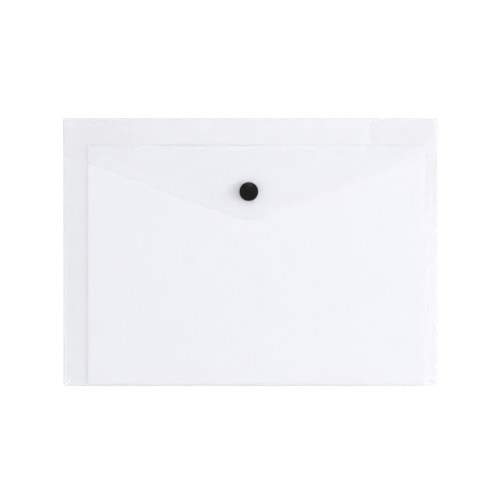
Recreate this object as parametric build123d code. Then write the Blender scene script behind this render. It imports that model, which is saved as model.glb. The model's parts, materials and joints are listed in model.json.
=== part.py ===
from build123d import *
from math import radians, sqrt, tan
import os

# A clear film document wallet with a pointed flap, a press stud and a stack of sheets inside.
# Millimetres. The wallet lies on its back: X runs to the right, Y up to the top crease, Z out of the front.
# The origin is at the middle of the wallet, on the face that it lies on.

# The film and the sheets that it is cut to hold
film = 0.3
sheet_width = 297.0
sheet_height = 210.0
stack_thickness = 1.0
sheet_gap = 0.1

# Room between the sheets' edges and the wallet's edges
left_room = 21.6
right_room = 11.4
top_room = 24.0
bottom_room = 0.7

# Side welds, and the slopes between them and the sheets
weld_width = 3.0
slope_margin = 1.5
pinch_gap = 0.05

# The mouth of the front, just below the crease, with its thumb notch
mouth_drop = 1.5
mouth_gap = 0.05
mouth_corner_radius = 2.0
notch_width = 211.0
notch_depth = 26.6
notch_radius = 8.0

# The flap and its crease
flap_depth = 92.2
flap_edge_angle = 20.4
flap_tip_radius = 30.0
flap_corner_radius = 3.0
flap_shift = -1.7
crease_radius = 1.0
crease_run = 14.0
crease_margin = 0.3

# The press stud: cap and socket on the flap, ball and base on the front panel
stud_inset = 27.4
cap_diameter = 16.7
cap_rim = 0.7
cap_dome = 1.2
cap_edge_radius = 0.5
pin_diameter = 2.0
pin_clearance = 0.03
rivet_diameter = 3.2
rivet_height = 0.2
socket_diameter = 12.0
socket_flange = 0.7
socket_ring_diameter = 8.8
socket_web = 0.4
ball_flange_diameter = 12.0
ball_flange = 0.7
ball_diameter = 4.6
ball_neck_diameter = 3.8
ball_height = 1.3
ball_crown = 0.5
ball_clearance = 0.3
snap_gap = 0.2
base_diameter = 14.0
base_thickness = 0.8
base_chamfer = 0.4
base_gap = 0.2

# How far a cutting shape runs past what it cuts
overrun = 5.0

# Heights, stacked up from the table
stack_bottom = film + sheet_gap
stack_top = stack_bottom + stack_thickness
base_bottom = stack_top + base_gap
panel_bottom = base_bottom + base_thickness
panel_top = panel_bottom + film
ball_flange_top = panel_top + ball_flange
ball_top = ball_flange_top + ball_height
socket_bottom = ball_flange_top + snap_gap
rivet_bottom = ball_top + snap_gap
cavity_top = rivet_bottom + rivet_height
flap_bottom = cavity_top + socket_web
flap_top = flap_bottom + film
cap_rim_top = flap_top + cap_rim
cap_top = cap_rim_top + cap_dome

# The bottom fold is a half round as deep as the pocket, pinched nearly flat at the corners
fold_radius = panel_top / 2
pinch_radius = film + pinch_gap
weld_top = 2 * pinch_radius

# Places across the wallet
wallet_width = left_room + sheet_width + right_room
half_width = wallet_width / 2
weld_x = half_width - weld_width
stack_left = left_room - half_width
stack_right = stack_left + sheet_width
slope_left = stack_left - slope_margin
slope_right = stack_right + slope_margin

# Places up the wallet
wallet_height = fold_radius + bottom_room + sheet_height + top_room
half_height = wallet_height / 2
fold_y = fold_radius - half_height
pinch_y = pinch_radius - half_height
stack_low_y = fold_y + bottom_room
stack_high_y = stack_low_y + sheet_height
shoulder_y = half_height - crease_run
mouth_y = half_height - mouth_drop
notch_y = mouth_y - notch_depth

# The crease is at half the wallet's height, so that the open flap comes down level with the back
crease_y = half_height - crease_radius
crease_z = flap_top / 2
crease_end_y = crease_y - crease_margin

# Each shoulder is an arc that leaves its flat panel smoothly and runs smoothly into the crease
shoulder_reach = crease_y - shoulder_y
shoulder_rise = flap_top - crease_z
shoulder_radius = (shoulder_reach**2 + shoulder_rise**2 - crease_radius**2) / (
    2 * (shoulder_rise - crease_radius)
)

# At the mouth the front's margins lie on the inside of the back's shoulder
mouth_reach = mouth_y - shoulder_y
mouth_low = shoulder_radius - sqrt((shoulder_radius - film) ** 2 - mouth_reach**2) + mouth_gap
mouth_high = mouth_low + film

# The flap's point, with the stud above it
tip_y = half_height - flap_depth
stud_y = tip_y + stud_inset
edge_slope = tan(radians(flap_edge_angle))
flap_left_y = tip_y + edge_slope * (half_width + flap_shift)
flap_right_y = tip_y + edge_slope * (half_width - flap_shift)

cap_radius = cap_diameter / 2
pin_radius = pin_diameter / 2
pin_hole_radius = pin_radius + pin_clearance
rivet_radius = rivet_diameter / 2
socket_radius = socket_diameter / 2
socket_ring_radius = socket_ring_diameter / 2
ball_flange_radius = ball_flange_diameter / 2
ball_radius = ball_diameter / 2
ball_neck_radius = ball_neck_diameter / 2
cavity_radius = ball_radius + ball_clearance
base_radius = base_diameter / 2


def outline(*points):
    """A flat face with straight edges between its corners."""
    return make_face(Polyline(*points, close=True))


def rectangle(left, bottom, right, top):
    """A flat rectangle between two opposite corners."""
    return outline((left, bottom), (right, bottom), (right, top), (left, top))


def plate(shape, bottom, top):
    """A flat shape made solid between two heights."""
    return Pos(0, 0, bottom) * extrude(shape, amount=top - bottom)


def across(profile):
    """A side profile, drawn as Y and Z, run across the whole width of the wallet."""
    return extrude(Plane.YZ * profile, amount=half_width, both=True)


def turned(profile):
    """A round piece on the stud's axis from half its section, drawn as radius and height."""
    return Pos(flap_shift, stud_y, 0) * revolve(Plane.XZ * profile, axis=Axis.Z)


def stud_hole(bottom, top):
    """The hole that a stud's pin takes through the film."""
    hole = Pos(flap_shift, stud_y) * Circle(pin_hole_radius)
    return plate(hole, bottom - overrun, top + overrun)


def teardrop(inset):
    """The side profile inside the film's outer face at the top crease, drawn in by inset."""
    centre = Vector(crease_y, crease_z)
    down = (centre - Vector(shoulder_y, shoulder_radius)).normalized()
    radius = crease_radius - inset
    back_start = Vector(shoulder_y, inset)
    back_end = centre + down * radius
    nose = centre + Vector(1, 0) * radius
    flap_end = centre + Vector(down.X, -down.Y) * radius
    flap_start = Vector(shoulder_y, flap_top - inset)
    edges = [
        TangentArc(back_start, back_end, tangent=(1, 0)),
        ThreePointArc(back_end, nose, flap_end),
        TangentArc(flap_start, flap_end, tangent=(1, 0)),
        Line(flap_start, back_start),
    ]
    return make_face(edges)


def fold_section(x, radius):
    """The half ring of the bottom fold at one place along it."""
    y = radius - half_height
    inner = radius - film
    edges = [
        ThreePointArc((y, 2 * radius), (y - radius, radius), (y, 0)),
        Line((y, 0), (y, film)),
        ThreePointArc((y, film), (y - inner, radius), (y, radius + inner)),
        Line((y, radius + inner), (y, 2 * radius)),
    ]
    return Plane.YZ.offset(x) * make_face(edges)


def back_panel():
    """The flat back, narrowed at its lower corners where the bottom fold is pinched."""
    shape = outline(
        (-half_width, pinch_y),
        (-weld_x, pinch_y),
        (slope_left, fold_y),
        (slope_right, fold_y),
        (weld_x, pinch_y),
        (half_width, pinch_y),
        (half_width, shoulder_y),
        (-half_width, shoulder_y),
    )
    return plate(shape, 0, film)


def crease_film(low_y, low_z, high_y, high_z):
    """The part of the curved film at the crease that lies in a window of the side view."""
    band = teardrop(0) - teardrop(film)
    return across(band & rectangle(low_y, low_z, high_y, high_z))


def back_shoulder():
    """The strip of the back that curves up to the crease."""
    return crease_film(shoulder_y, 0, crease_end_y, crease_z)


def top_fold():
    """The crease that the flap swings on."""
    return crease_film(crease_end_y, 0, half_height, flap_top)


def flap_outline():
    """The flap seen from the front, from the crease down to its rounded point."""
    shape = outline(
        (-half_width, crease_end_y),
        (-half_width, flap_left_y),
        (flap_shift, tip_y),
        (half_width, flap_right_y),
        (half_width, crease_end_y),
    )
    corners = shape.vertices().sort_by(Axis.Y)[1:3]
    shape = fillet(corners, flap_corner_radius)
    return fillet(shape.vertices().sort_by(Axis.Y)[0], flap_tip_radius)


def flap_shoulder():
    """The strip of the flap that curves down to the crease."""
    strip = crease_film(shoulder_y, crease_z, crease_end_y, flap_top)
    return strip & plate(flap_outline(), crease_z, flap_top)


def flap():
    """The flat of the flap below its shoulder."""
    shape = flap_outline() & rectangle(-half_width, tip_y, half_width, shoulder_y)
    return plate(shape, flap_bottom, flap_top) - stud_hole(flap_bottom, flap_top)


def front_panel():
    """The flat of the front over the sheets, with a wide thumb notch in its mouth."""
    shape = rectangle(slope_left, fold_y, slope_right, mouth_y)
    notch = rectangle(-notch_width / 2, notch_y, notch_width / 2, mouth_y + overrun)
    notch = fillet(notch.vertices().group_by(Axis.Y)[0], notch_radius)
    shape = shape - notch
    corners = shape.vertices().group_by(Axis.Y)[-1].sort_by(Axis.X)[1:3]
    shape = fillet(corners, mouth_corner_radius)
    return plate(shape, panel_bottom, panel_top) - stud_hole(panel_bottom, panel_top)


def shoulder_strip(x, low_bottom, low_top, high_bottom, high_top):
    """The side profile of the front film between the back's shoulder and the mouth, at one place across."""
    profile = outline(
        (shoulder_y, low_bottom), (mouth_y, high_bottom), (mouth_y, high_top), (shoulder_y, low_top)
    )
    return Plane.YZ.offset(x) * profile


def gusset(slope_x, edge_x):
    """The front film's slope from beside the sheets down to a side weld, running out at the mouth."""
    shape = outline((slope_x, fold_y), (edge_x, pinch_y), (edge_x, shoulder_y), (slope_x, shoulder_y))
    profile = outline(
        (slope_x, panel_bottom),
        (slope_x, panel_top),
        (edge_x, weld_top),
        (edge_x, weld_top - film),
    )
    slope = extrude(Plane.XZ * profile, amount=half_height, both=True) & plate(shape, 0, panel_top)
    sections = [
        shoulder_strip(slope_x, panel_bottom, panel_top, panel_bottom, panel_top),
        shoulder_strip(edge_x, weld_top - film, weld_top, mouth_low, mouth_high),
    ]
    return slope + loft(sections, ruled=True)


def side_weld(inner_x, outer_x):
    """The margin of the front film, fused to the back, and loose above the back's shoulder."""
    margin = plate(rectangle(inner_x, pinch_y, outer_x, shoulder_y), film, weld_top)
    strip = shoulder_strip(inner_x, film, weld_top, mouth_low, mouth_high)
    return margin + extrude(strip, amount=outer_x - inner_x)


def bottom_fold():
    """The rounded bottom edge: full over the sheets, and narrowing to a pinch at both corners."""
    sections = [
        fold_section(-half_width, pinch_radius),
        fold_section(-weld_x, pinch_radius),
        fold_section(slope_left, fold_radius),
        fold_section(slope_right, fold_radius),
        fold_section(weld_x, pinch_radius),
        fold_section(half_width, pinch_radius),
    ]
    return loft(sections, ruled=True)


def stud_cap():
    """The domed cap outside the flap. Its pin goes through the flap and is riveted in the socket."""
    edges = [
        TangentArc((0, cap_top), (cap_radius, cap_rim_top), tangent=(1, 0)),
        Polyline(
            (cap_radius, cap_rim_top),
            (cap_radius, flap_top),
            (pin_radius, flap_top),
            (pin_radius, cavity_top),
            (rivet_radius, cavity_top),
            (rivet_radius, rivet_bottom),
            (0, rivet_bottom),
            (0, cap_top),
        ),
    ]
    profile = make_face(edges)
    rim = profile.vertices().group_by(Axis.X)[-1].sort_by(Axis.Y)[-1]
    return turned(fillet(rim, cap_edge_radius))


def stud_socket():
    """The socket under the flap, open below for the ball."""
    profile = outline(
        (pin_hole_radius, flap_bottom),
        (socket_radius, flap_bottom),
        (socket_radius, flap_bottom - socket_flange),
        (socket_ring_radius, flap_bottom - socket_flange),
        (socket_ring_radius, socket_bottom),
        (cavity_radius, socket_bottom),
        (cavity_radius, cavity_top),
        (pin_hole_radius, cavity_top),
    )
    return turned(profile)


def stud_ball():
    """The ball on the front panel, hollow for the base's pin."""
    bore_top = ball_top - ball_crown
    belly = (ball_radius, ball_flange_top + ball_height / 2)
    edges = [
        ThreePointArc((ball_neck_radius, ball_flange_top), belly, (ball_neck_radius, ball_top)),
        Polyline(
            (ball_neck_radius, ball_top),
            (0, ball_top),
            (0, bore_top),
            (pin_hole_radius, bore_top),
            (pin_hole_radius, panel_top),
            (ball_flange_radius, panel_top),
            (ball_flange_radius, ball_flange_top),
            (ball_neck_radius, ball_flange_top),
        ),
    ]
    return turned(make_face(edges))


def stud_base():
    """The disc inside the pocket, with the pin that holds the ball."""
    pin_top = ball_top - ball_crown - pin_clearance
    profile = outline(
        (0, base_bottom),
        (base_radius - base_chamfer, base_bottom),
        (base_radius, base_bottom + base_chamfer),
        (base_radius, panel_bottom),
        (pin_radius, panel_bottom),
        (pin_radius, pin_top),
        (0, pin_top),
    )
    return turned(profile)


def paper_stack():
    """The sheets, squared up in one block."""
    return plate(rectangle(stack_left, stack_low_y, stack_right, stack_high_y), stack_bottom, stack_top)


pieces = {
    "back_panel": back_panel(),
    "back_shoulder": back_shoulder(),
    "top_fold": top_fold(),
    "flap_shoulder": flap_shoulder(),
    "flap": flap(),
    "bottom_fold": bottom_fold(),
    "front_panel": front_panel(),
    "left_gusset": gusset(slope_left, -weld_x),
    "right_gusset": gusset(slope_right, weld_x),
    "left_side_weld": side_weld(-half_width, -weld_x),
    "right_side_weld": side_weld(weld_x, half_width),
    "stud_cap": stud_cap(),
    "stud_socket": stud_socket(),
    "stud_ball": stud_ball(),
    "stud_base": stud_base(),
    "paper_stack": paper_stack(),
}

os.makedirs("parts", exist_ok=True)
for name, piece in pieces.items():
    piece.label = name
    export_step(piece, f"parts/{name}.step")

print("hinge axis at y", crease_y, "z", crease_z)
print("sheets' top edge at y", stack_high_y, "wallet", wallet_width, wallet_height, cap_top)
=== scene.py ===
import bmesh
import bpy
import json
import math
import random
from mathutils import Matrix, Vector, noise


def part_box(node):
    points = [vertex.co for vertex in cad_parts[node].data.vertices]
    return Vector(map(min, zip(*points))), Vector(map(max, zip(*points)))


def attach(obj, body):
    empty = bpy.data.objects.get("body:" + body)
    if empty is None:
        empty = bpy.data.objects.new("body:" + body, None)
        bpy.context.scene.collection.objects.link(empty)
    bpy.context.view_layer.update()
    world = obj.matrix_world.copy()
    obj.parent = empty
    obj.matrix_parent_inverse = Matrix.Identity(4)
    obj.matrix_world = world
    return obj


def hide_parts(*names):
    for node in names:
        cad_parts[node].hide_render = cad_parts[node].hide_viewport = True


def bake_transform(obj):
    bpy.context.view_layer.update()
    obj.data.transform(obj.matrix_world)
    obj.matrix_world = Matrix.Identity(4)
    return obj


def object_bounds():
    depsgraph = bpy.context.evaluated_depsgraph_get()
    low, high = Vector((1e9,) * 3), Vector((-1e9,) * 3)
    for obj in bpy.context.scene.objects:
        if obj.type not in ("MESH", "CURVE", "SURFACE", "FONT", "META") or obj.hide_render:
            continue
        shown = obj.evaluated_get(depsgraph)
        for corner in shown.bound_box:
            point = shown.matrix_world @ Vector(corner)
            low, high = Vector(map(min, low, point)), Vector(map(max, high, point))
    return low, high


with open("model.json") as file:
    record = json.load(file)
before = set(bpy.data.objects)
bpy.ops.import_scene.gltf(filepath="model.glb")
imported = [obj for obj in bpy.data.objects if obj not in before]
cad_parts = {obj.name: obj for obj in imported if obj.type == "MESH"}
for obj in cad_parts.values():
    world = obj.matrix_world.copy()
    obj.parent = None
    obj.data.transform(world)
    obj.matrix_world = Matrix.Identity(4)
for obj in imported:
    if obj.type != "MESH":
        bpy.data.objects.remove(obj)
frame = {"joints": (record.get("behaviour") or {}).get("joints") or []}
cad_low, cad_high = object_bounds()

# A frosted film document wallet, lying on its back with its flap shut.
# Metres, in the frame of the solids: X to the right, Y up to the top crease, Z out of the front.

MM = 0.001
NEAR = 0.01 * MM
ON_LINE = 1e-7
REST_PLACE = "rest_place"

# Colours of the finishes
# The whitened film colour also serves as painted highlight
CLEAR_FILM, WHITENED_AND_HIGHLIT_FILM = (0.78, 0.78, 0.802), (0.99, 0.99, 1.0)
# The grey paper colour is also the painted shadow along the sheets' top edge
PAPER_GREY_AND_SHADOW, WHITE_PAPER = (0.76, 0.767, 0.8), (0.94, 0.947, 0.98)
DEEP_BLACK, RUBBED_BLACK = (0.0004, 0.0003, 0.0005), (0.009, 0.008, 0.0075)

# Places read from the frame
back_low, back_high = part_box("back_panel")
front_low, front_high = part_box("front_panel")
weld_low, weld_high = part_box("right_side_weld")
flap_low, flap_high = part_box("flap")
cap_low, cap_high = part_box("stud_cap")
socket_low, socket_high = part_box("stud_socket")
ball_low, ball_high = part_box("stud_ball")
base_low, base_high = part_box("stud_base")
stack_low, stack_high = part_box("paper_stack")
hinge = next(joint for joint in frame["joints"] if joint["name"] == "flap_hinge")

film = back_high.z - back_low.z
half_width = back_high.x
weld_x = weld_low.x
slope_left, slope_right = front_low.x, front_high.x
fold_y, mouth_y, shoulder_y = front_low.y, front_high.y, back_high.y
stud_x, stud_y = (cap_low.x + cap_high.x) / 2, (cap_low.y + cap_high.y) / 2

# Heights of the middle of the film
back_z = film / 2
front_z = front_low.z + film / 2
flap_z = flap_low.z + film / 2
weld_z = weld_low.z + film / 2 + 0.1 * MM
margin_z = weld_high.z - film / 2

# The crease, and the shoulders that run into it
_, crease_y, crease_z = hinge["pos_m"]
crease_radius = cad_high.y - crease_y
shoulder_reach = crease_y - shoulder_y
shoulder_rise = flap_high.z - crease_z
shoulder_radius = (shoulder_reach**2 + shoulder_rise**2 - crease_radius**2) / (
    2 * (shoulder_rise - crease_radius)
)
shoulder_turn = math.atan2(shoulder_reach, shoulder_radius - shoulder_rise)
crease_turn = math.pi - 2 * shoulder_turn
shoulder_middle = shoulder_radius - film / 2

# The thumb notch in the mouth, and the flap's outline
notch_half = 105.5 * MM
notch_y = mouth_y - 26.6 * MM
notch_radius = 8 * MM
mouth_radius = 2 * MM
flap_angle = math.radians(20.4)
tip = Vector((stud_x, stud_y - 27.4 * MM))
tip_radius = 30 * MM
side_radius = 3 * MM
ridge_foot = Vector((stud_x, stud_y - 25.1 * MM))

# Faint ridges of the flap run from the sheets' top corners to its point: the direction down from each
ridges = []
for corner_x in (stack_low.x, stack_high.x):
    along = ridge_foot - Vector((corner_x, stack_high.y))
    ridges.append(Vector((-abs(along.y) * math.copysign(1, along.x), -abs(along.x))).normalized())

# The pinched crease at each bottom corner: its outer end, and its direction inwards from there
crease_end = Vector((half_width - 0.6 * MM, fold_y - 0.5 * MM))
crease_run = Vector((-0.7787, 0.6284))
crease_length = 7.3 * MM
pinch_half, pinch_height = 0.8 * MM, 0.4 * MM

# The mesh of the film and of the sheets, and the holes for the stud's pins
film_grid, sheet_grid = 4 * MM, 30 * MM
pin_hole = 1.1 * MM

# Bands of the film's finish, by their distance from the middle of the wallet or from its outline
fold_band = (116.5 * MM, 117.8 * MM)
weld_band = (161.5 * MM, 162.2 * MM)
edge_band = (-1.0 * MM, -0.8 * MM)


def film_blank(name, low, high, z):
    """A flat rectangle of film or paper between two corners, left open for editing."""
    bpy.ops.object.select_all(action="DESELECT")
    bpy.ops.mesh.primitive_plane_add(size=1)
    piece = bpy.context.object
    piece.name = piece.data.name = name
    bpy.ops.object.mode_set(mode="EDIT")
    size = (high[0] - low[0], high[1] - low[1], 1)
    bpy.ops.transform.resize(value=size, center_override=(0, 0, 0))
    bpy.ops.transform.translate(value=((low[0] + high[0]) / 2, (low[1] + high[1]) / 2, z))
    return piece


def choose(piece, test, kind="VERT"):
    """Selects the corners, edges or faces whose middle passes the test."""
    bpy.ops.mesh.select_mode(type=kind)
    bpy.ops.mesh.select_all(action="DESELECT")
    mesh = bmesh.from_edit_mesh(piece.data)
    for part in {"VERT": mesh.verts, "EDGE": mesh.edges, "FACE": mesh.faces}[kind]:
        if kind == "VERT":
            middle = part.co
        else:
            middle = sum((corner.co for corner in part.verts), Vector()) / len(part.verts)
        part.select_set(bool(test(middle)))
    mesh.select_flush_mode()
    bmesh.update_edit_mesh(piece.data)


def between(places, step):
    """Evenly spaced places inside each gap of a list, no further apart than the step."""
    found = []
    for low, high in zip(places, places[1:]):
        count = math.ceil((high - low) / step)
        found += [low + (high - low) * n / count for n in range(1, count)]
    return found


def score(axis, places):
    """Divides the whole sheet along straight lines across an axis."""
    direction = Vector((axis == "X", axis == "Y", 0))
    for place in places:
        bpy.ops.mesh.select_all(action="SELECT")
        bpy.ops.mesh.bisect(plane_co=direction * place, plane_no=direction, threshold=ON_LINE)


def round_corners(piece, test, offset, segments):
    """Rounds the chosen corners of a flat outline."""
    choose(piece, test)
    bpy.ops.mesh.bevel(offset=offset, segments=segments, affect="VERTICES")


def pull_edge(piece, test, reach):
    """Extrudes the chosen edges up the wallet by a length."""
    choose(piece, test, "EDGE")
    bpy.ops.mesh.extrude_edges_move(TRANSFORM_OT_translate={"value": (0, reach, 0)})


def press(piece, depth):
    """Moves each corner of the sheet up or down by what depth gives for its place."""
    mesh = bmesh.from_edit_mesh(piece.data)
    for corner in mesh.verts:
        corner.co.z += depth(corner.co)
    bmesh.update_edit_mesh(piece.data)


def smoothed(low, high, value):
    """0 below low, 1 above high, with a soft step between."""
    share = min(max((value - low) / (high - low), 0), 1)
    return share * share * (3 - 2 * share)


def apply_modifier(piece, kind, **settings):
    """Adds a modifier with its settings and applies it."""
    modifier = piece.modifiers.new(kind.title(), kind)
    for name, value in settings.items():
        setattr(modifier, name, value)
    bpy.context.view_layer.objects.active = piece
    bpy.ops.object.modifier_apply(modifier=modifier.name)


def make_solid(piece, thickness):
    """Closes the edited sheet into a thin solid."""
    bpy.ops.mesh.select_all(action="SELECT")
    bpy.ops.mesh.remove_doubles(threshold=1e-6)
    bpy.ops.mesh.normals_make_consistent(inside=False)
    bpy.ops.object.mode_set(mode="OBJECT")
    apply_modifier(piece, "SOLIDIFY", thickness=thickness, offset=0)


def smooth(piece, angle=35):
    """Smooth shading, with edges sharper than the angle kept crisp."""
    bpy.ops.object.select_all(action="DESELECT")
    piece.select_set(True)
    bpy.context.view_layer.objects.active = piece
    bpy.ops.object.shade_smooth_by_angle(angle=math.radians(angle))


def pierce(piece, low, high, radius):
    """Punches the hole that a stud's pin goes through."""
    bpy.ops.object.select_all(action="DESELECT")
    bpy.ops.mesh.primitive_cylinder_add(
        vertices=24, radius=radius, depth=high - low, location=(stud_x, stud_y, (low + high) / 2)
    )
    punch = bpy.context.object
    apply_modifier(piece, "BOOLEAN", object=punch, operation="DIFFERENCE", solver="EXACT")
    bpy.data.objects.remove(punch)


def keep_places(piece):
    """Stores where each corner lies at rest, so that a pattern stays on the film when it bends."""
    kept = piece.data.attributes.new(REST_PLACE, "FLOAT_VECTOR", "POINT")
    for corner, stored in zip(piece.data.vertices, kept.data):
        stored.vector = corner.co


def ripple(place, size, height):
    """A slow unevenness of film that has been handled."""
    return height * noise.noise(Vector((place.x / size, place.y / size, place.z / size + 3.7)))


def from_stud(place):
    return math.hypot(place.x - stud_x, place.y - stud_y)


def back_height(y):
    """The middle of the back film, which curves up to the crease above its flat."""
    past = min(max(y - shoulder_y, 0), shoulder_reach)
    return back_z + shoulder_middle - math.sqrt(shoulder_middle**2 - past**2)


def sinking(place):
    """How far the front lies below its level at the stud, where it comes down onto the sheets."""
    inside = smoothed(0, 25 * MM, min(place.x - slope_left, slope_right - place.x, place.y - fold_y))
    away = smoothed(9 * MM, 75 * MM, from_stud(place))
    return inside * (away * 0.45 * MM + ripple(place, 60 * MM, 0.12 * MM))


def pinch_ridge(place):
    """The height of the small ridge that runs in from each bottom corner."""
    off = Vector((abs(place.x), place.y)) - crease_end
    beside = abs(off.x * crease_run.y - off.y * crease_run.x)
    fade = 1 - smoothed(0.7, 1.1, off.dot(crease_run) / crease_length)
    return pinch_height * max(0, 1 - beside / pinch_half) * fade


def pocket_film():
    """Back, bottom fold and front of the wallet, with the thumb notch and the pressed side welds."""
    piece = film_blank("pocket_film", (-half_width, fold_y), (half_width, shoulder_y), back_z)
    choose(piece, lambda p: p.y > shoulder_y - NEAR, "EDGE")
    centre = (0, shoulder_y, back_z + shoulder_middle)
    bpy.ops.mesh.spin(steps=8, angle=-shoulder_turn, center=centre, axis=(1, 0, 0))
    choose(piece, lambda p: p.y < fold_y + NEAR, "EDGE")
    centre = (0, fold_y, (back_z + front_z) / 2)
    bpy.ops.mesh.spin(steps=10, angle=math.pi, center=centre, axis=(1, 0, 0))
    pull_edge(piece, lambda p: p.z > front_z - NEAR, notch_y - fold_y)
    lines = [-half_width, -weld_x, slope_left, -notch_half, notch_half, slope_right, weld_x, half_width]
    score("X", lines[1:-1])

    # The front grows up both sides of the notch to the mouth
    def beside_notch(p):
        return p.z > front_z - NEAR and abs(p.x) > notch_half and p.y > notch_y - NEAR

    def at_shoulder(p):
        return p.z > front_z - NEAR and abs(p.x) > notch_half and p.y > shoulder_y - NEAR

    pull_edge(piece, beside_notch, shoulder_y - notch_y)
    pull_edge(piece, at_shoulder, mouth_y - shoulder_y)

    # The front comes down to the back at the side welds, and the bottom fold is pinched flat with it
    def welded(p):
        return abs(p.x) > weld_x - NEAR and p.y < shoulder_y + NEAR and p.z > back_z + NEAR

    choose(piece, welded)
    pinch = (weld_z - back_z) / (front_z - back_z)
    bpy.ops.transform.resize(value=(1, 1, pinch), center_override=(0, 0, back_z))

    # At the mouth its margins lie on the inside of the back's shoulder
    choose(piece, lambda p: abs(p.x) > weld_x - NEAR and p.y > mouth_y - NEAR and p.z > front_z - NEAR)
    bpy.ops.transform.translate(value=(0, 0, margin_z - front_z))

    # Rounded corners of the notch and the mouth
    choose(piece, lambda p: p.z > front_z - NEAR, "FACE")
    bpy.ops.mesh.dissolve_faces()

    def notch_corner(y):
        def test(p):
            beside = abs(abs(p.x) - notch_half) < NEAR
            return beside and abs(p.y - y) < NEAR and p.z > front_z - NEAR

        return test

    round_corners(piece, notch_corner(notch_y), notch_radius, 8)
    round_corners(piece, notch_corner(mouth_y), mouth_radius, 4)

    score("X", between(lines, film_grid))
    score("Y", between([fold_y, notch_y, shoulder_y, mouth_y], film_grid))

    def front(p):
        return p.y > fold_y + MM and p.z > back_height(p.y) + 0.2 * MM

    # Soft bends beside the sheets
    def bend(p):
        return front(p) and min(abs(p.x - slope_left), abs(p.x - slope_right)) < 6 * MM

    choose(piece, bend)
    bpy.ops.mesh.vertices_smooth(factor=0.5, repeat=4, xaxis=False, yaxis=False, zaxis=True)

    # A crease is pinched into each bottom corner
    for side in (-1, 1):
        def in_corner(p):
            return front(p) and p.x * side > weld_x - 6 * MM and p.y < fold_y + 7 * MM

        across = Vector((side * crease_run.y, -crease_run.x, 0))
        for offset in (-pinch_half, 0, pinch_half):
            choose(piece, in_corner, "FACE")
            line = Vector((side * crease_end.x, crease_end.y, 0)) + across * offset
            bpy.ops.mesh.bisect(plane_co=line, plane_no=across, threshold=ON_LINE)

    # The front sinks onto the sheets away from the stud
    press(piece, lambda p: pinch_ridge(p) - sinking(p) if front(p) else 0)
    make_solid(piece, film)
    pierce(piece, front_z - MM, front_z + MM, pin_hole)
    smooth(piece)
    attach(piece, "pocket")
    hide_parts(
        "back_panel", "back_shoulder", "bottom_fold", "front_panel",
        "left_gusset", "right_gusset", "left_side_weld", "right_side_weld",
    )
    return piece


def flap_film():
    """The pointed flap with its shoulder and the crease that it swings on."""
    piece = film_blank("flap_film", (-half_width, tip.y), (half_width, shoulder_y), flap_z)
    for side in (-1, 1):
        outward = (side * math.sin(flap_angle), -math.cos(flap_angle), 0)
        bpy.ops.mesh.select_all(action="SELECT")
        bpy.ops.mesh.bisect(
            plane_co=(*tip, 0), plane_no=outward, clear_outer=True, threshold=ON_LINE
        )
    tip_offset = tip_radius * math.tan(flap_angle)
    side_offset = side_radius * math.tan((math.pi / 2 - flap_angle) / 2)
    round_corners(piece, lambda p: p.y < tip.y + NEAR, tip_offset, 14)
    round_corners(
        piece, lambda p: abs(p.x) > half_width - NEAR and p.y < shoulder_y - MM, side_offset, 5
    )
    choose(piece, lambda p: p.y > shoulder_y - NEAR, "EDGE")
    centre = (0, shoulder_y, flap_z - shoulder_middle)
    bpy.ops.mesh.spin(steps=10, angle=shoulder_turn, center=centre, axis=(1, 0, 0))
    crease_start = shoulder_y + shoulder_middle * math.sin(shoulder_turn)
    choose(piece, lambda p: p.y > crease_start - NEAR, "EDGE")
    centre = (0, crease_y, crease_z)
    bpy.ops.mesh.spin(steps=12, angle=crease_turn, center=centre, axis=(1, 0, 0))

    for outward in ridges:
        bpy.ops.mesh.select_all(action="SELECT")
        bpy.ops.mesh.bisect(
            plane_co=(*ridge_foot, 0), plane_no=(*outward, 0), threshold=ON_LINE
        )
    score("X", between([-half_width, stack_low.x, tip.x, stack_high.x, half_width], film_grid))
    score("Y", between([tip.y, shoulder_y], film_grid))

    # The flap comes down from the stud towards the front, and droops past the sheets
    ridge_slope, side_slope = 0.025, 0.06

    def hang(p):
        if p.y > shoulder_y and p.z < crease_z + 2 * MM:
            return 0
        off_crease = 1 - smoothed(85 * MM, 112 * MM, p.y)
        down = (flap_z - front_z - film) * smoothed(9 * MM, 85 * MM, from_stud(p))
        below_ridge = max(0, *((p.xy - ridge_foot).dot(outward) for outward in ridges))
        past_sheets = max(stack_low.x - p.x, p.x - stack_high.x, 0)
        bent_down = ridge_slope * below_ridge * smoothed(0, 20 * MM, from_stud(p))
        drop = down + bent_down + side_slope * past_sheets
        return off_crease * (ripple(p, 55 * MM, 0.12 * MM) - drop)

    press(piece, hang)
    make_solid(piece, film)
    pierce(piece, flap_z - MM, flap_z + MM, pin_hole)
    smooth(piece)
    keep_places(piece)
    crease_y + 0.4 * MM
    crease_z - 0.8 * MM
    crease_y + 0.1 * MM
    crease_z + 0.65 * MM
    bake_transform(piece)
    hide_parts("flap", "flap_shoulder", "top_fold")
    return piece


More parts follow.
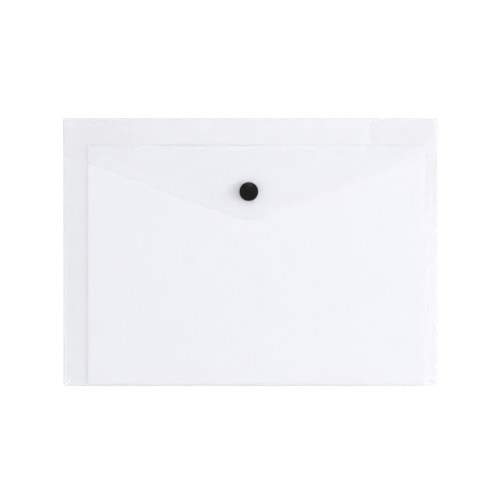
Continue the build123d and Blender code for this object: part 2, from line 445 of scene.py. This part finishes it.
def paper_sheets():
    """Loose sheets, squared up by hand, so that no two edges lie quite on each other."""
    random.seed(12)
    count = 9
    thickness = 0.1 * MM
    askew = 0.03
    pitch = (stack_high.z - stack_low.z - thickness) / (count - 1)
    sheets = []
    for number in range(count):
        sheet = film_blank("sheet", stack_low, stack_high, stack_low.z + thickness / 2 + pitch * number)
        score("X", between([stack_low.x, stack_high.x], sheet_grid))
        score("Y", between([stack_low.y, stack_high.y], sheet_grid))
        bpy.ops.mesh.select_all(action="SELECT")
        centre = (stack_low + stack_high) / 2
        bpy.ops.transform.rotate(
            value=math.radians(random.uniform(-askew, askew)), orient_axis="Z", center_override=centre
        )
        nudge = (random.uniform(-0.05, 0.4) * MM, random.uniform(-0.05, 0.35) * MM, 0)
        bpy.ops.transform.translate(value=nudge)
        make_solid(sheet, thickness)
        sheets.append(sheet)
    bpy.ops.object.select_all(action="DESELECT")
    for sheet in sheets:
        sheet.select_set(True)
    piece = sheets[0]
    bpy.context.view_layer.objects.active = piece
    bpy.ops.object.join()
    piece.name = piece.data.name = "paper_sheets"
    smooth(piece)
    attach(piece, "sheets")
    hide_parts("paper_stack")
    return piece


def turned(name, rings, body, node, edge=0.1 * MM):
    """A round stud piece drawn up ring by ring from a circle, with its sharp edges softened."""
    bpy.ops.object.select_all(action="DESELECT")
    radius, height = rings[0]
    bpy.ops.mesh.primitive_circle_add(vertices=72, radius=radius, location=(0, 0, 0))
    piece = bpy.context.object
    piece.name = piece.data.name = name
    bpy.ops.object.mode_set(mode="EDIT")
    bpy.ops.mesh.select_all(action="SELECT")
    bpy.ops.transform.translate(value=(stud_x, stud_y, height))
    for next_radius, next_height in rings[1:]:
        bpy.ops.mesh.extrude_edges_move(
            TRANSFORM_OT_translate={"value": (0, 0, next_height - height)}
        )
        scale = next_radius / radius
        bpy.ops.transform.resize(
            value=(scale, scale, 1), center_override=(stud_x, stud_y, next_height)
        )
        radius, height = next_radius, next_height
    bpy.ops.mesh.select_all(action="SELECT")
    bpy.ops.mesh.remove_doubles(threshold=2 * NEAR)
    bpy.ops.mesh.normals_make_consistent(inside=False)
    bpy.ops.object.mode_set(mode="OBJECT")
    apply_modifier(
        piece, "BEVEL", width=edge, segments=2, limit_method="ANGLE", angle_limit=math.radians(40)
    )
    smooth(piece, 50)
    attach(piece, body)
    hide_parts(node)
    return piece


def press_stud():
    """Cap and socket on the flap, ball and base on the front."""
    middle = NEAR / 2
    pin = 1 * MM
    cap_radius = (cap_high.x - cap_low.x) / 2
    cap_rings = [(middle, cap_low.z), (1.6 * MM, cap_low.z), (1.6 * MM, cap_low.z + 0.2 * MM)]
    cap_rings += [(pin, cap_low.z + 0.2 * MM), (pin, flap_high.z), (cap_radius - 0.1 * MM, flap_high.z)]
    rim = [(0, 0.1), (0, 0.3), (0.03, 0.5), (0.12, 0.64), (0.28, 0.74)]
    cap_rings += [(cap_radius - inset * MM, flap_high.z + height * MM) for inset, height in rim]
    dome_height = 1.2 * MM
    dome_radius = (cap_radius**2 + dome_height**2) / (2 * dome_height)
    for share in (0.94, 0.88, 0.8, 0.7, 0.58, 0.44, 0.29, 0.14):
        reach = share * cap_radius
        cap_rings.append((reach, cap_high.z - dome_radius + math.sqrt(dome_radius**2 - reach**2)))
    cap_rings.append((middle, cap_high.z))
    cap = turned("stud_cap_black", cap_rings, "flap", "stud_cap", 0.06 * MM)

    socket_radius = (socket_high.x - socket_low.x) / 2
    flange = socket_high.z - 0.7 * MM
    ring, mouth, roof = 4.4 * MM, 2.6 * MM, socket_high.z - 0.4 * MM
    socket_rings = [
        (pin, socket_high.z), (socket_radius, socket_high.z), (socket_radius, flange), (ring, flange),
        (ring, socket_low.z), (mouth, socket_low.z), (mouth, roof), (pin, roof), (pin, socket_high.z),
    ]
    socket = turned("stud_socket_black", socket_rings, "flap", "stud_socket")

    ball_radius = (ball_high.x - ball_low.x) / 2
    seat = ball_low.z + 0.7 * MM
    tall = ball_high.z - seat
    ball_rings = [(pin, ball_low.z), (ball_radius, ball_low.z), (ball_radius, seat), (1.9 * MM, seat)]
    ball_rings += [(2.15 * MM, seat + tall * 0.2), (2.3 * MM, seat + tall * 0.5)]
    ball_rings += [(2.15 * MM, seat + tall * 0.8), (1.75 * MM, ball_high.z - 0.05 * MM)]
    ball_rings += [(1.2 * MM, ball_high.z), (middle, ball_high.z), (middle, ball_high.z - 0.5 * MM)]
    ball_rings += [(pin, ball_high.z - 0.5 * MM), (pin, ball_low.z)]
    ball = turned("stud_ball_black", ball_rings, "pocket", "stud_ball")

    base_radius = (base_high.x - base_low.x) / 2
    disc, chamfer = base_low.z + 0.8 * MM, 0.4 * MM
    base_rings = [
        (middle, base_low.z), (base_radius - chamfer, base_low.z), (base_radius, base_low.z + chamfer),
        (base_radius, disc), (pin, disc), (pin, base_high.z), (middle, base_high.z),
    ]
    base = turned("stud_base_black", base_rings, "pocket", "stud_base")
    return [cap, socket, ball, base]


class Value:
    """A socket of a material that takes part in sums like a number."""

    def __init__(self, tree, socket=None):
        self.tree = tree
        self.socket = socket

    def add(self, kind, settings=None, sockets=None, out=0):
        """Adds a node: its settings first, then the values or links of its sockets."""
        node = self.tree.nodes.new(kind)
        for name, value in (settings or {}).items():
            setattr(node, name, value)
        for name, value in (sockets or {}).items():
            if isinstance(value, Value):
                self.tree.links.new(value.socket, node.inputs[name])
            else:
                node.inputs[name].default_value = value
        return Value(self.tree, node.outputs[out]) if node.outputs else node

    def sum(self, operation, first, second):
        return self.add("ShaderNodeMath", {"operation": operation}, {0: first, 1: second})

    def __add__(self, other):
        return self.sum("ADD", self, other)

    def __radd__(self, other):
        return self.sum("ADD", other, self)

    def __sub__(self, other):
        return self.sum("SUBTRACT", self, other)

    def __rsub__(self, other):
        return self.sum("SUBTRACT", other, self)

    def __mul__(self, other):
        return self.sum("MULTIPLY", self, other)

    def __rmul__(self, other):
        return self.sum("MULTIPLY", other, self)

    def part(self, letter):
        """One axis of a place."""
        return self.add("ShaderNodeSeparateXYZ", None, {"Vector": self}, "XYZ".index(letter))

    def cloud(self, scale, detail=2.0, roughness=0.5):
        """A soft random pattern, about 0 to 1."""
        sockets = {"Vector": self, "Scale": scale, "Detail": detail, "Roughness": roughness}
        return self.add("ShaderNodeTexNoise", None, sockets)

    def step(self, low, high):
        """0 below low and 1 above high, soft between."""
        sockets = {"Value": self, "From Min": low, "From Max": high}
        return self.add("ShaderNodeMapRange", {"interpolation_type": "SMOOTHSTEP"}, sockets)

    def size(self):
        return self.add("ShaderNodeMath", {"operation": "ABSOLUTE"}, {0: self})

    def tint(self, first, second):
        """A colour between two, by this share."""
        sockets = {0: self, 6: (*first, 1), 7: (*second, 1)}
        return self.add("ShaderNodeMix", {"data_type": "RGBA"}, sockets, 2)


def new_material(name, bends=False):
    """An empty material, and the place on the piece that its patterns read."""
    material = bpy.data.materials.new(name)
    material.use_nodes = True
    material.node_tree.nodes.clear()
    sheet = Value(material.node_tree)
    if bends:
        place = sheet.add("ShaderNodeAttribute", {"attribute_name": REST_PLACE}, None, "Vector")
    else:
        place = sheet.add("ShaderNodeTexCoord", None, None, "Object")
    return material, sheet, place


def show(sheet, surface):
    sheet.add("ShaderNodeOutputMaterial", None, {"Surface": surface})


def frosted_film(name, is_flap):
    """Clear film with a fine frosting, whiter where it is folded, welded or cut, with a painted
    highlight along the bend beside the sheets, painted light and shade at the corner creases, and a
    lighter painted band along the flap's edges.
    """
    material, sheet, place = new_material(name, is_flap)
    grain = place.cloud(1400, 2)
    haze = place.cloud(22, 3)
    across, up = place.part("X"), place.part("Y")
    left = 1 - across.step(-0.01, 0.01)
    folded = up.size().step(*fold_band)
    welded = across.size().step(*weld_band) * (1 - left * up.step(-0.06, 0.07))
    # Painted highlight: a whiter, denser line of film along the bend beside the sheets' right edge,
    # fading towards the top
    beside_sheets = (across - (stack_high.x + 0.6 * MM)).size()
    bend_highlight = (1 - beside_sheets.step(0.4 * MM, 2.2 * MM)) * (1 - up.step(-0.02, 0.07))
    trimmed = (across.size() - half_width).step(*edge_band)
    edge = sheet.sum("MAXIMUM", trimmed, (up.size() - cad_high.y).step(*edge_band))

    # Painted light along the creases that run in from the bottom corners: a painted highlight on the
    # left one, painted shade on the right one, and a wedge of painted shade below each
    out, above = across.size() - crease_end.x, up - crease_end.y
    beside = out * crease_run.y - above * crease_run.x
    inwards = out * crease_run.x + above * crease_run.y
    near = 1 - inwards.step(crease_length * 0.7, crease_length * 1.2)
    crease_light_and_shade = (1 - beside.size().step(0.2 * MM, 1.0 * MM)) * near
    crease_shade_wedge = (1 - beside.step(-1.8 * MM, -0.6 * MM)) * near

    # How white the film is, painted highlights included, and how dense
    whitening_and_highlights = folded * 0.9 + welded * 0.15 + bend_highlight * 0.35
    # Painted light: the whitened cut outline is whiter at the right edge than at the left
    whitening_and_highlights = whitening_and_highlights + trimmed * (0.55 - left * 0.4) + crease_light_and_shade * left * 0.9
    dense = 0.14 + haze * 0.02 + edge * 0.64 + crease_light_and_shade * (0.25 + left * 0.14)
    if is_flap:
        # Painted light: below its ridges the flap's film is made clearer, for a lighter band along its
        # edges
        downs = [(across - ridge_foot.x) * down.x + (up - ridge_foot.y) * down.y for down in ridges]
        dense = dense - sheet.sum("MAXIMUM", *downs).step(-3 * MM, 5 * MM) * 0.022

    # Light on its way to what lies below passes more easily
    passing = sheet.add("ShaderNodeLightPath", None, None, "Is Shadow Ray")
    bump = sheet.add(
        "ShaderNodeBump", None, {"Height": grain, "Strength": 0.12, "Distance": 0.0001}
    )
    film_look = {
        "Base Color": whitening_and_highlights.tint(CLEAR_FILM, WHITENED_AND_HIGHLIT_FILM),
        "Roughness": 0.34 + haze * 0.14,
        "Alpha": (dense + (folded + bend_highlight + crease_shade_wedge - welded) * 0.03) * (1 - passing * 0.7),
        "IOR": 1.49,
        "Specular IOR Level": 0.6,
        "Normal": bump,
    }
    show(sheet, sheet.add("ShaderNodeBsdfPrincipled", None, film_look))
    return material


def plain_paper():
    """White uncoated paper with faint fibres, and a painted shadow line along the sheets' top edge,
    deepest over a span left of the middle.
    """
    material, sheet, place = new_material("plain_paper")
    fibre = place.cloud(700, 4, 0.65)
    cloudy = place.cloud(60, 3)
    across, up = place.part("X"), place.part("Y")
    # Painted shadow: a grey line along the sheets' top edge, deepest over a span left of the middle
    shadow_span = across.step(-0.1, -0.065) * (1 - across.step(-0.005, 0.03))
    painted_edge_shadow = up.step(stack_high.y - 0.9 * MM, stack_high.y - 0.6 * MM) * (0.25 + shadow_span * 0.75)
    pale = 0.889 + (fibre + cloudy) * 0.0555 - painted_edge_shadow * 0.7
    bump = sheet.add("ShaderNodeBump", None, {"Height": fibre, "Strength": 0.15, "Distance": 0.0001})
    paper_look = {
        "Base Color": pale.tint(PAPER_GREY_AND_SHADOW, WHITE_PAPER),
        "Roughness": 0.86 + fibre * 0.1,
        "Specular IOR Level": 0.1,
        "Normal": bump,
    }
    show(sheet, sheet.add("ShaderNodeBsdfPrincipled", None, paper_look))
    return material


def black_plastic():
    """Black moulded plastic with a fine satin grain and a little handling shine."""
    material, sheet, place = new_material("black_plastic")
    grain = place.cloud(2600, 2)
    worn = place.cloud(700, 3).step(0.3, 0.7)
    bump = sheet.add("ShaderNodeBump", None, {"Height": grain, "Strength": 0.1, "Distance": 0.00005})
    plastic_look = {
        "Base Color": worn.tint(DEEP_BLACK, RUBBED_BLACK),
        "Roughness": 0.22 + worn * 0.06,
        "Specular IOR Level": 0.12,
        "Normal": bump,
    }
    show(sheet, sheet.add("ShaderNodeBsdfPrincipled", None, plastic_look))
    return material


def seen(sheet):
    """1 for what is seen directly, in a reflection or through the film, 0 for light on its way."""
    kinds = ("Camera", "Glossy", "Transmission")
    rays = [sheet.add("ShaderNodeLightPath", None, None, f"Is {kind} Ray") for kind in kinds]
    total = rays[0] + rays[1] + rays[2]
    total.socket.node.use_clamp = True
    return total


def studio():
    """A white table, a key light from the right, two softer ones, and an even white room."""
    bpy.ops.object.select_all(action="DESELECT")
    bpy.ops.mesh.primitive_plane_add(size=8, location=(0, 0, -0.2 * MM))
    table = bpy.context.object
    table.name = "table"
    material, sheet, place = new_material("white_table")
    lit = sheet.add("ShaderNodeBsdfDiffuse", None, {"Color": (0.84, 0.85, 0.9, 1)})
    shaded = sheet.add("ShaderNodeBsdfDiffuse", None, {"Color": (0.25, 0.25, 0.25, 1)})

    # Painted light and shade: under the film the table's glow is dimmed as painted shade, most at the
    # left, growing brighter towards the right as painted light from that side, and both margins are
    # evened out
    depth = sheet.add("ShaderNodeLightPath", None, None, "Transparent Depth")
    covered, under_flap = depth.step(0.2, 0.8), depth.step(4.2, 4.8)
    across, up = place.part("X"), place.part("Y")
    right, left = across.step(0.14, 0.158), (0 - across).step(0.14, 0.158)
    at_left = left * (up * up * 3 + under_flap * 0.03)
    at_right = right * (up.step(-0.01, 0.09) * 0.09 - under_flap * 0.06 - 0.01)
    glow = 0.83 + covered * (across * 0.3 - 0.127 + at_left - at_right)
    white = sheet.add("ShaderNodeEmission", None, {"Color": (0.99, 1, 1.045, 1), "Strength": glow})
    bright = sheet.add("ShaderNodeAddShader", None, {0: shaded, 1: white})
    show(sheet, sheet.add("ShaderNodeMixShader", None, {0: seen(sheet), 1: lit, 2: bright}))
    table.data.materials.append(material)

    for name, direction, distance, size, power in (
        ("key", (0.883, 0, 0.469), 2.7, 1.25, 41.4),
        ("fill", (-0.83, -0.25, 0.5), 3.5, 1.6, 16.8),
        ("back", (0.07, 0.5, 0.863), 3.5, 1.0, 14.8),
    ):
        lamp = bpy.data.lights.new(name, "AREA")
        lamp.size = size
        lamp.energy = power
        holder = bpy.data.objects.new(name, lamp)
        bpy.context.scene.collection.objects.link(holder)
        aim = Vector(direction).normalized()
        holder.location = aim * distance
        holder.rotation_euler = aim.to_track_quat("Z", "Y").to_euler()

    world = bpy.data.worlds.new("room")
    bpy.context.scene.world = world
    world.use_nodes = True
    world.node_tree.nodes.clear()
    air = Value(world.node_tree)
    overhead = air.add("ShaderNodeTexCoord", None, None, "Generated").part("Z").step(0, 1)
    room_white = (1, 1, 1, 1)
    dim_look = {"Color": room_white, "Strength": 0.28 + overhead * 0.4}
    dim = air.add("ShaderNodeBackground", None, dim_look)
    plain = air.add("ShaderNodeBackground", None, {"Color": room_white, "Strength": 1.0})
    room = air.add("ShaderNodeMixShader", None, {0: seen(air), 1: dim, 2: plain})
    air.add("ShaderNodeOutputWorld", None, {"Surface": room})


def camera():
    """Straight above the wallet, with a long lens, at the photograph's framing."""
    lens = bpy.data.cameras.new("camera")
    lens.lens = 200
    lens.sensor_width = 36
    lens.clip_end = 50
    view = bpy.data.objects.new("camera", lens)
    bpy.context.scene.collection.objects.link(view)
    frame_width = 439.75 * MM
    distance = frame_width * lens.lens / lens.sensor_width
    middle_x, middle_y = -0.65 * MM, 1.9 * MM
    view.location = (middle_x, middle_y, front_z + distance)
    bpy.context.scene.camera = view


pocket = pocket_film()
flap = flap_film()
papers = paper_sheets()
studs = press_stud()

for piece, name in ((pocket, "frosted_pocket"), (flap, "frosted_flap")):
    piece.data.materials.clear()
    piece.data.materials.append(frosted_film(name, piece is flap))
papers.data.materials.clear()
papers.data.materials.append(plain_paper())
stud_material = black_plastic()
for piece in studs:
    piece.data.materials.clear()
    piece.data.materials.append(stud_material)

studio()
camera()

scene = bpy.context.scene
scene.view_settings.view_transform = "Standard"
scene.cycles.max_bounces = 16
scene.cycles.diffuse_bounces = 10
scene.cycles.transparent_max_bounces = 24
